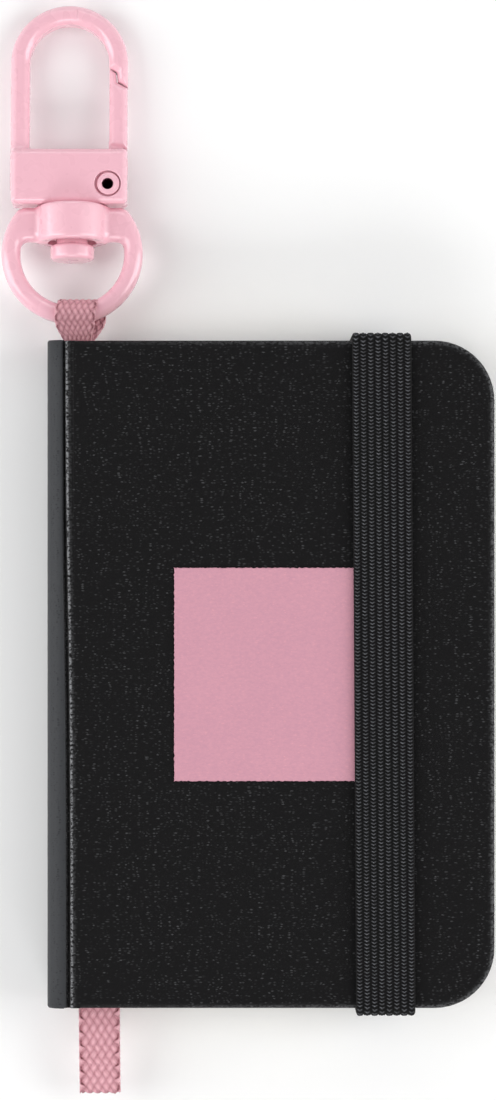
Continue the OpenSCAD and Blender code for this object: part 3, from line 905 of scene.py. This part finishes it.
def rivet_field(u, v, w):
    """A tube with rolled flanges."""
    around, thick = from_rivet(u, v), np.abs(w)
    tube = smooth_max(around - RIVET_R, thick - BODY_HALF + 0.12, 0.05)
    flange = smooth_max(from_rivet(u, v, 0.09) - FLANGE_R, np.abs(thick - BODY_HALF + 0.25) - 0.17, 0.12)
    rim = smooth_max(np.abs(around - RIM_R) - 0.17, np.abs(thick - BODY_HALF + 0.12) - 0.1, 0.1)
    return smooth_max(smooth_min(smooth_min(tube, flange, 0.08), rim, 0.08), RIVET_BORE - around, 0.1)


def bore_shade_field(u, v, w):
    """A thin sleeve with a floor halfway down, inside the rivet: a near-black liner that stands in for the hole's
    shade.
    """
    around, thick = from_rivet(u, v), np.abs(w)
    cup = np.minimum(0.62 - around, thick - 0.25)
    return smooth_max(smooth_max(around - 0.72, thick - BODY_HALF + 0.35, 0.04), cup, 0.04)


def add_spring(paint):
    """A coil in the body's pocket, riding the hook; its free end reaches the gate's tang."""
    turns, sides, per_turn, wire, coil_r = 7, 8, 20, 0.13, 0.72
    count = turns * per_turn + 1
    angle = np.linspace(0, turns * 2 * math.pi, count)
    start, end = SPRING_ENDS[0] + wire, SPRING_ENDS[1] - wire
    u = np.linspace(start, end, count)
    radial = np.stack([0 * angle, np.cos(angle), np.sin(angle)], -1)
    path = np.stack([u, SPRING_V + coil_r * np.cos(angle), coil_r * np.sin(angle)], -1)
    ahead = headings(path)
    side = np.cross(ahead, radial)
    around = np.arange(sides) * 2 * math.pi / sides
    ring = path[:, None] + wire * (
        radial[:, None] * np.cos(around)[None, :, None] + side[:, None] * np.sin(around)[None, :, None]
    )
    ring = CLIP_CENTRE + ring[..., :1] * CLIP_U + ring[..., 1:2] * CLIP_V + ring[..., 2:] * CLIP_W
    spring = loft("gate_coil", ring)
    dress(spring, paint, ["gate_spring"], "hook")
    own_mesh(spring)


def add_clip(paint, wire_paint, bore_shade_paint):
    half = BODY_HALF + 0.3
    parts = [
        ("clip_ring", "swivel_ring", "ring", ring_field, (-9, -9, -4.6), (9, 6.3, 4.6)),
        ("clip_post", "swivel_post", "hook", post_field, (-3, -1.4, -3), (3, 9.4, 3)),
        ("clip_hook", "hook_body", "hook", hook_field, (-7.9, 5.6, -half), (7.2, 31, half)),
        ("clip_gate_blade", "clip_gate", "gate", gate_field, (2.3, 6.3, -1.9), (7.2, 23.4, 1.9)),
        ("clip_rivet", "gate_rivet", "hook", rivet_field, (2.6, 6.6, -2.6), (6.1, 10.1, 2.6)),
    ]
    for name, node, body, field, low, high in parts:
        pitch = FIELD_PITCH if name in ("clip_ring", "clip_hook") else 0.08
        piece = field_mesh(name, field, low, high, paint, pitch)
        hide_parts(node)
        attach(piece, body)
    # The near-black liner in the rivet's hole is painted shade.
    bore = field_mesh("clip_rivet_shade_liner", bore_shade_field, (3.4, 7.4, -2.2), (5.3, 9.3, 2.2), bore_shade_paint, 0.06)
    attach(bore, "hook")
    add_spring(wire_paint)


# Covers

COVER_STEPS = 14


def cover_outline(low_x, high_x, half_y, radius, inset, spine_radius=0.12):
    """Points round a cover, drawn in by inset: nearly square at the spine and round at the fore-edge."""
    corners = [
        (high_x - radius, half_y - radius, radius, 90, 0),
        (high_x - radius, -half_y + radius, radius, 0, -90),
        (low_x + spine_radius, -half_y + spine_radius, spine_radius, -90, -180),
        (low_x + spine_radius, half_y - spine_radius, spine_radius, 180, 90),
    ]
    points = []
    for x, y, r, start, end in corners:
        inner = max(r - inset, 0.02)
        shift = r - inset - inner
        centre_x = x + (shift if x > (low_x + high_x) / 2 else -shift)
        centre_y = y + (shift if y > 0 else -shift)
        for angle in np.radians(np.linspace(start, end, COVER_STEPS)):
            points.append((centre_x + inner * math.cos(angle), centre_y + inner * math.sin(angle)))
    return np.array(points)


def plate(name, outline, profile, face_z, way, rise_and_light_values=()):
    """Lofts an outline through a profile of (inset, depth below the outer face); way is 1 up and -1 down."""
    loops = []
    for inset, depth in profile:
        flat = outline(inset)
        loops.append(np.column_stack([flat, np.full(len(flat), face_z - way * depth)]))
    made = loft(name, loops)
    if rise_and_light_values:
        rise_and_light_values = np.pad(rise_and_light_values, (0, len(profile) - len(rise_and_light_values)))[:, None]
        # The rim's painted highlight is kept off the spine side.
        away_from_spine = loops[0][:, 0] > loops[0][:, 0].min() + 2
        add_attribute(made, "rise_and_light", (rise_and_light_values * away_from_spine).ravel())
    return made


def round_edge(radius, steps=5, start=0.0, end=90.0):
    """Profile points round an outer edge, from the face to the side."""
    angles = np.radians(np.linspace(start, end, steps))
    return [(radius * (1 - math.sin(a)), radius * (1 - math.cos(a))) for a in angles]


SKIN = 0.28
EDGE_R = 0.55
# How much painted highlight, with some wear from rubbing, each step of the rim's profile gets.
EDGE_HIGHLIGHT_AND_WEAR = (0.0, 0.04, 0.26, 0.34, 0.16, 0.0)
COVER_CORNER = 7.2
PASTE_MARGIN = 1
TURN_IN = 7.0
TURN_IN_T = 0.12


def add_cover(side, body, paints):
    """One cover: leatherette turned in over the edges of its board, the board, and the pastedown inside."""
    skin_low, skin_high = box_mm(side + "_skin")
    board_low = box_mm(side + "_board")[0]
    way = 1 if side == "front" else -1
    face = skin_high[2] if way > 0 else skin_low[2]
    thick = skin_high[2] - skin_low[2]
    low_x = board_low[0] + 0.02
    outline = lambda inset: cover_outline(low_x, skin_high[0], skin_high[1], COVER_CORNER, inset)
    profile = [(0.9, 0.0)] + round_edge(EDGE_R) + [(0.0, thick - 0.35), (0.09, thick - 0.1), (0.3, thick)]
    profile += [(TURN_IN, thick), (TURN_IN, thick - TURN_IN_T), (0.4, thick - TURN_IN_T)]
    profile += [(SKIN, thick - 0.35), (SKIN, EDGE_R), (EDGE_R, SKIN)]
    skin = plate(side + "_cover_skin", outline, profile, face, way, EDGE_HIGHLIGHT_AND_WEAR)
    sharpen(skin, 50)
    board_profile = [(0.5, SKIN + 0.02), (SKIN + 0.03, 0.5)]
    board_profile += [(SKIN + 0.03, thick - 0.32), (0.4, thick - TURN_IN_T - 0.02)]
    board = sharpen(plate(side + "_cover_board", outline, board_profile, face, way))
    paste_low = box_mm(side + "_pastedown")[0]
    paste_z = paste_low[2] + (0.02 if way > 0 else 0.08)
    paste_x, paste_y = skin_high[0] - PASTE_MARGIN, skin_high[1] - PASTE_MARGIN
    paste_r = COVER_CORNER - PASTE_MARGIN
    paste_outline = lambda inset: cover_outline(low_x - 0.1, paste_x, paste_y, paste_r, inset)
    paste_profile = [(0.02, 0.0), (0.0, 0.02), (0.0, 0.05), (0.02, 0.07)]
    paste = plate(side + "_endpaper", paste_outline, paste_profile, paste_z + 0.035 * (1 + way), way)
    for piece, node, paint, slot in (
        (skin, side + "_skin", paints["cover"], "cover_leatherette"),
        (board, side + "_board", paints["board"], "board"),
        (paste, side + "_pastedown", paints["endpaper"], "endpaper"),
    ):
        dress(piece, paint, [node], body)


def strip_along_y(name, outer, thickness, y0, y1, slant=None, rise_and_light=None, ends=0.15):
    """A bent sheet: an outline in X and Z with that thickness, run from y0 to y1, with its ends eased.

    slant(y) gives how far each outline point moves across at a place along the strip.
    """
    outer = np.array(outer, float)
    ahead = headings(outer)
    inward = np.stack([-ahead[:, 1], ahead[:, 0]], -1)
    places = [(y0, ends), *((y, 0) for y in np.linspace(y0 + ends, y1 - ends, 25)), (y1, ends)]
    loops = []
    for y, ease in places:
        moved = outer + (np.column_stack([slant(y), 0 * outer[:, 0]]) if slant else 0)
        ring = np.concatenate([moved + inward * ease * 0.5, (moved + inward * thickness)[::-1]])
        loops.append(np.stack([ring[:, 0], np.full(len(ring), y), ring[:, 1]], -1))
    loops = np.array(loops)
    rows, size = loops.shape[:2]
    faces = grid_faces(rows, size, wrap=True)
    half = size // 2
    for first in (0, (rows - 1) * size):
        last = first + size - 1
        faces += [[first + k, first + k + 1, last - 1 - k, last - k] for k in range(half - 1)]
    made = turn_outwards(mesh_object(name, loops.reshape(-1, 3), faces))
    # The optional values carry painted highlight onto the outer face.
    if rise_and_light is not None:
        add_attribute(made, "rise_and_light", np.tile(np.concatenate([rise_and_light, 0 * np.array(rise_and_light)]), rows))
    return made


def arc(cx, cz, radius, start, end, steps=9):
    angles = np.radians(np.linspace(start, end, steps))
    return [(cx + radius * math.cos(a), cz + radius * math.sin(a)) for a in angles]


SPINE_R = 2.0
RIDGE_X = -24.2
RIDGE_DRIFT = 0.31
SPINE_EDGE = 0.62
# The hinge groove's section: across, height, and how much painted highlight each point gets, most on the ridge.
GROOVE = [
    (-0.95, -0.46, 0.0),
    (-0.66, -0.36, 0.05),
    (-0.52, -0.5, 0.12),
    (-0.42, -0.66, 0.0),
    (-0.3, -0.66, 0.0),
    (-0.19, -0.3, 0.15),
    (-0.09, -0.03, 0.8),
    (0.0, 0.05, 1.0),
    (0.1, 0.045, 0.8),
    (0.22, 0.02, 0.15),
    (0.6, 0.008, 0.0),
    (1.0, -0.02, 0.0),
]
WEB_T = 0.16
WEB_BENDS = (-0.6, 0.05)
TURN_IN_CAP = [(0.0, 0.005), (0.0, 0.04), (0.03, 0.07), (0.1, 0.08)]


def ridge_x(y):
    """Where the ridge beside the hinge groove runs: it drifts away from the spine towards the tail."""
    return RIDGE_X - RIDGE_DRIFT * math.tanh((y - 9) / 17)


def rounded_section(x0, x1, z0, z1, radius, inset):
    """Points round the spine's section, with round corners on its outer side, drawn in by inset."""
    x0, x1, z0, z1 = x0 + inset, x1 - inset, z0 + inset, z1 - inset
    r = radius - inset
    points = arc(x0 + r, z0 + r, r, 270, 180) + arc(x0 + r, z1 - r, r, 180, 90)
    return np.array(points + [(x1, z1), (x1, z0)])


def add_spine(paints):
    """The spine's skin with its two round shoulders, and the grooves that the covers turn in."""
    low, high = box_mm("spine_skin")
    r = SPINE_R
    edge = RIDGE_X - SPINE_EDGE
    outer = [(edge, high[2] - 0.2), (edge - 0.06, high[2] - 0.05), (low[0] + r, high[2])]
    outer += arc(low[0] + r, high[2] - r, r, 90, 180)[1:]
    outer += arc(low[0] + r, low[2] + r, r, 180, 270)
    outer += [(edge - 0.06, low[2] + 0.05), (edge, low[2] + 0.2)]
    follows = np.array([1.0 if x > edge - 0.08 else 0.0 for x, _ in outer])
    slant = lambda y: follows * (ridge_x(y) - RIDGE_X)
    spine = strip_along_y("spine_wrap", outer, SKIN, low[1], high[1], slant)
    # The spine gets the lit copy of the cloth: painted light.
    dress(spine, paints["spine"], ["spine_skin"], "book")
    for end, face_y, way in (("head", high[1], 1), ("tail", low[1], -1)):
        loops = []
        for inset, out in TURN_IN_CAP:
            flat = rounded_section(low[0] + 0.1, edge, low[2] + 0.1, high[2] - 0.1, r - 0.1, inset)
            loops.append(np.column_stack([flat[:, 0], np.full(len(flat), face_y + way * out), flat[:, 1]]))
        cap = sharpen(loft("spine_turn_in_" + end, loops), 60)
        dress(cap, paints["spine"], body="book")
    front_face, back_face = box_mm("front_skin")[1][2], box_mm("back_skin")[0][2]
    for side, top, way in (("front", front_face, 1), ("back", back_face, -1)):
        groove = [(RIDGE_X + dx, top + dz if way > 0 else top - min(dz, 0)) for dx, dz, rise_and_light in GROOVE]
        # The third column: painted highlight along the ridge.
        rise_and_light = [rise_and_light for dx, dz, rise_and_light in GROOVE]
        if way > 0:
            groove.reverse()
            rise_and_light.reverse()
        drift = lambda y: np.full(len(GROOVE), ridge_x(y) - RIDGE_X)
        web = strip_along_y(side + "_groove", groove, WEB_T, low[1] + 0.01, high[1] - 0.01, drift, rise_and_light)
        dress(web, paints["cover"])
        if way > 0:
            start, end = (metres(RIDGE_X + dx, 0, top) for dx in WEB_BENDS)
            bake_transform(web)
        else:
            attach(web, "book")


PATCH_STEP = 0.22
PATCH_PROFILE = [(0.0, 0.09), (0.03, 0.03), (0.12, 0.01), (0.3, 0.0)]


def add_patch(paint):
    """A square with slightly ragged cut edges."""
    low, high = box_mm("front_patch")
    rough = random.Random(11)
    side = high[0] - low[0]
    count = int(side / PATCH_STEP)
    outline = []
    for k in range(4):
        turn = np.radians(90 * k)
        ahead = np.round([math.cos(turn), math.sin(turn)])
        inward = np.array([-ahead[1], ahead[0]])
        start = np.where(ahead + inward > 0, low[:2], high[:2])
        for n in range(count):
            nick = 0.05 + 0.045 * math.sin(n * 1.9 + k) * rough.random() + rough.uniform(-0.04, 0.04)
            if n == 0:
                nick = 0.0
            outline.append(start + ahead * (side * n / count) + inward * nick)
    outline = np.array(outline)
    centre = (low[:2] + high[:2]) / 2
    loops = []
    for inset, z in [(0.0, low[2] + 0.01)] + [(inset, high[2] - depth) for inset, depth in PATCH_PROFILE]:
        flat = centre + (outline - centre) * (1 - 2 * inset / side)
        loops.append(np.column_stack([flat, np.full(len(flat), z)]))
    patch = sharpen(loft("cover_patch", loops), 60)
    dress(patch, paint, ["front_patch"], "front_cover")


# Pages

LEAVES = 12
PAGE_CORNER = 5.2
LEAF_T = 0.082
PAGE_COLUMNS = (-1.0, 0.0, 0.72, 0.8, 0.88, 1.0)
FROM_FORE_EDGE = np.array([0, 0.15, 0.5, 1.1, 1.9, 2.8, 3.9, 5.2])
MIDDLE_RUN = [10, -8, -14.5, -16, -17.2]
GUTTER_RUN = np.arange(-18.0, -24.4, -0.4)
MARK_GAP = 0.86
TAILS_GAP = 0.78
ROOM_SIDE = 1.4
ROOM_END = 1.2
ROOM_FADE = 1.2


def make_room(x, y, z, block_low, block_top):
    """Moves points of the text block apart where the two ribbons lie between the leaves."""
    mark_high = box_mm("bookmark_ribbon")[1]
    near = np.clip((mark_high[0] + ROOM_SIDE - x) / ROOM_FADE, 0, 1)
    near = near * np.clip((mark_high[1] + ROOM_END - y) / ROOM_FADE, 0, 1)
    gap = MARK_GAP * ease(near)
    below = z < block_top
    z = np.where(below, block_low + (z - block_low) * (1 - gap / (block_top - block_low)), z)
    tails_low, tails_high = box_mm("loop_tails")
    near = np.clip((tails_high[0] + ROOM_SIDE - x) / ROOM_FADE, 0, 1)
    near = near * np.clip((y - tails_low[1] + ROOM_END) / ROOM_FADE, 0, 1)
    push = TAILS_GAP * ease(near)
    split = (tails_low[2] + tails_high[2]) / 2
    upper = split + push + (z - split) * (1 - push / (block_top - split))
    lower = split - push - (split - z) * (1 - push / (split - block_low))
    return np.where(below, np.where(z > split, upper, lower), z)


def sheet_path(x0, x1, upper, lower, nest):
    """The middle line of a folded sheet in X and Z, from one fore-edge round the fold to the other."""
    radius = (upper - lower) / 2
    run = np.concatenate([x1 - FROM_FORE_EDGE, MIDDLE_RUN, GUTTER_RUN])
    fold_x = x0 + nest + radius
    run = run[run > fold_x + 0.3]
    turn = arc(fold_x, (upper + lower) / 2, radius, 90, 270, 9)
    return [(x, upper) for x in run] + turn + [(x, lower) for x in run[::-1]]


def page_sheets(name, paths, half_y, radius, x1, room, rough):
    """Thin sheets along paths in X and Z, with round fore-edge corners."""
    points, faces = [], []
    first = 0
    for path in paths:
        path = np.array(path, float)
        ahead = np.gradient(path, axis=0)
        ahead /= np.maximum(np.linalg.norm(ahead, axis=1), 1e-9)[:, None]
        normal = np.stack([-ahead[:, 1], ahead[:, 0]], -1) * LEAF_T / 2
        slip = rough.uniform(-0.04, 0.04)
        reach = np.clip(path[:, 0] - (x1 - radius), 0, radius)
        half = half_y - radius + np.sqrt(radius**2 - reach**2) + slip * 0.5
        rows = []
        for side in (1, -1):
            line = path + normal * side
            for fraction in PAGE_COLUMNS:
                y = fraction * half
                x = line[:, 0] + slip * (line[:, 0] > 0)
                z = room(x, y, line[:, 1]) if room else line[:, 1]
                rows.append(np.stack([x, y, z], -1))
        size = len(path)
        columns = len(PAGE_COLUMNS)
        points.append(np.concatenate(rows))
        faces += grid_faces(columns, size, first) + grid_faces(columns, size, first + columns * size)
        under = first + columns * size
        for column in (0, columns - 1):
            a, b = first + column * size, under + column * size
            faces += [[a + k, a + k + 1, b + k + 1, b + k] for k in range(size - 1)]
        for column in range(columns - 1):
            for end in (0, size - 1):
                a, b = first + column * size + end, under + column * size + end
                faces.append([a, a + size, b + size, b])
        first += 2 * columns * size
    return turn_outwards(mesh_object(name, np.concatenate(points), faces))


def add_pages(paints):
    """Six signatures of folded sheets and two single flyleaves."""
    rough = random.Random(5)
    nodes = sorted(n for n in frame["nodes"] if n.startswith("signature_"))
    block_low = box_mm(nodes[-1])[0][2]
    block_top = box_mm(nodes[1])[1][2]
    room = lambda x, y, z: make_room(x, y, z, block_low, block_top)
    bodies = frame["record"]["behaviour"]["bodies"]
    leaves_body = next(body for body, names in bodies.items() if nodes[0] in names)
    for node in nodes:
        low, high = box_mm(node)
        turning = node == nodes[0]
        x0 = low[0] + (0.0 if turning else 0.02)
        pitch = (high[2] - low[2]) / LEAVES
        paths = []
        for k in range(LEAVES // 2):
            upper = high[2] - pitch * (k + 0.5)
            lower = low[2] + pitch * (k + 0.5)
            paths.append(sheet_path(x0, high[0] - 0.02 * k, upper, lower, 0.1 * k + LEAF_T / 2))
        name = node.replace("signature", "leaves")
        piece = page_sheets(name, paths, high[1], PAGE_CORNER, high[0], None if turning else room, rough)
        body = leaves_body if turning else "book"
        dress(sharpen(piece, 50), paints["page"], [node], body)
    for node in ("front_flyleaf", "back_flyleaf"):
        low, high = box_mm(node)
        z = (low[2] + high[2]) / 2
        gutter = GUTTER_RUN[GUTTER_RUN > low[0] + 0.15]
        run = np.concatenate([high[0] - FROM_FORE_EDGE, MIDDLE_RUN, gutter, [low[0] + 0.05]])
        path = [(x, z) for x in run]
        piece = page_sheets(node + "_sheet", [path], high[1], PAGE_CORNER, high[0], None, rough)
        body = leaves_body if node == "front_flyleaf" else "book"
        dress(sharpen(piece, 50), paints["endpaper"], [node], body)


# Elastic

RIBS = 8
RIB_SAMPLES = 8
STITCH = 0.42
CHEVRON = 0.5
ELASTIC_T = 0.8
ELASTIC_REACH = 9.2
ELASTIC_BEND = 0.75
RIB_RELIEF = 0.2
ELASTIC_SLANT = 0.25


def elastic_path(head, tail, top, low, step):
    """The band's middle line in Y and Z, with its distances along it.

    It comes out of the back cover at the head, passes over the front and goes in at the tail.
    """
    reach, radius = ELASTIC_REACH, ELASTIC_BEND
    over_head = [(head - reach, low), (head, low), (head, top)]
    corners = np.array(over_head + [(tail, top), (tail, low), (tail + reach, low)], float)
    points = [corners[0]]
    for before, corner, after in zip(corners, corners[1:], corners[2:]):
        into = (before - corner) / np.linalg.norm(before - corner)
        out = (after - corner) / np.linalg.norm(after - corner)
        centre = corner + (into + out) * radius
        for a in np.linspace(0, math.pi / 2, 9):
            points.append(centre - out * radius * math.cos(a) - into * radius * math.sin(a))
    points.append(corners[-1])
    points = np.array(points)
    at = distances(points)
    s = np.arange(0, at[-1], step)
    line = lookup(s, at, points)
    kept = (line[:, 1] > top - radius) | (np.arange(len(s)) % 2 == 0)
    return s[kept], line[kept]


def add_elastic(paint):
    """A ribbed elastic with a chevron of stitches on each rib."""
    low, high = box_mm("elastic_band")
    ends_low = box_mm("elastic_ends")[0]
    width = high[0] - low[0]
    middle_x = (high[0] + low[0]) / 2
    half_t = ELASTIC_T / 2
    head, tail = high[1] - half_t - 0.05, low[1] + half_t + 0.05
    top = high[2] - half_t - 0.02
    back = ends_low[2] + half_t + 0.02
    s, path = elastic_path(head, tail, top, back, STITCH / 4)
    ahead = headings(path)
    outward = np.stack([-ahead[:, 1], ahead[:, 0]], -1)
    if outward[len(s) // 2][1] < 0:
        outward = -outward
    count = RIBS * RIB_SAMPLES + 1
    u = np.linspace(-0.5, 0.5, count)
    rib = (u + 0.5) * RIBS
    local = np.abs(rib - np.floor(rib) - 0.5) * 2
    ridge = np.sqrt(np.clip(1 - local**2, 0, 1))
    stagger = 0.5 * (np.floor(rib) % 2)
    phase = s[:, None] / STITCH + (CHEVRON * local + stagger)[None, :]
    stitch = 0.5 + 0.5 * np.cos(2 * math.pi * phase)
    rise_and_light = ridge[None, :] * (0.05 + 0.95 * stitch)
    edge = np.clip((0.5 - np.abs(u)) * width / 0.25, 0, 1)
    height = half_t - RIB_RELIEF + RIB_RELIEF * rise_and_light - RIB_RELIEF * (1 - np.sqrt(edge))[None, :]
    slant = -ELASTIC_SLANT * path[:, 0] / head
    x = middle_x + slant[:, None] + u[None, :] * width
    outer_y, outer_z = (path[:, k, None] + outward[:, k, None] * height for k in (0, 1))
    outer = np.stack([x, outer_y, outer_z], -1)
    inner_u = np.array([0.49, -0.49])
    inner_x = middle_x + slant[:, None] + inner_u[None, :] * width
    under = path - outward * half_t
    inner = np.stack([inner_x, under[:, :1] + 0 * inner_x, under[:, 1:] + 0 * inner_x], -1)
    band = loft("elastic_strap", np.concatenate([outer, inner], 1))
    # These values shape the ribs and also carry the painted shade and highlight of the elastic's material.
    add_attribute(band, "rise_and_light", np.concatenate([rise_and_light, np.full((len(s), 2), 0.4)], 1).ravel())
    dress(band, paint, ["elastic_band", "elastic_legs", "elastic_ends"])
    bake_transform(band)


# Putting it together


def dress_cad_nodes(paints):
    """Materials for the CAD pieces that are shown as they are."""
    for node, paint in (
        ("spine_board", paints["board"]),
        ("sewing_thread", paints["thread"]),
        ("spine_gauze", paints["gauze"]),
        ("spine_lining", paints["kraft"]),
    ):
        obj = frame["nodes"][node]
        obj.data.materials.clear()
        obj.data.materials.append(paint)


def main():
    add_camera()
    yarn = pink_yarn("pink_yarn")
    core = paper("ribbon_core", (0.42, 0.15, 0.19), (0.3, 0.1, 0.13))
    add_bookmark(yarn, core)
    add_loop(yarn, core)
    paints = {
        "cover": leatherette("black_leatherette", (0.0062, 0.006, 0.0064), (0.068, 0.069, 0.072)),
        # A lit copy of the cover cloth: the spine is painted lighter grey for the side light on its round
        # shoulders.
        "spine": leatherette("spine_leatherette_painted_lit", (0.046, 0.048, 0.052), (0.017, 0.018, 0.02), 0.9, 0.45),
        "board": grey_board("grey_board"),
        "endpaper": paper("ivory_endpaper", (0.83, 0.79, 0.69), (0.74, 0.69, 0.58)),
        "page": paper("ivory_page", (0.86, 0.82, 0.72), (0.76, 0.71, 0.6)),
        "thread": paper("linen_thread", (0.84, 0.81, 0.74), (0.66, 0.62, 0.54), fibre=9),
        "gauze": woven("cotton_gauze", (0.8, 0.77, 0.68), (0.45, 0.42, 0.35), 1.2),
        "kraft": paper("kraft_lining", (0.5, 0.36, 0.2), (0.36, 0.25, 0.13)),
    }
    add_cover("back", "book", paints)
    add_cover("front", "front_cover", paints)
    add_spine(paints)
    add_patch(pink_leatherette("pink_leatherette"))
    add_pages(paints)
    add_elastic(knitted_elastic("knitted_elastic"))
    add_clip(pink_enamel("pink_enamel"), spring_wire("spring_wire"), painted_bore_shade("painted_bore_shade"))
    dress_cad_nodes(paints)
    add_floor(pale_floor("pale_floor"))
    add_lights()


main()
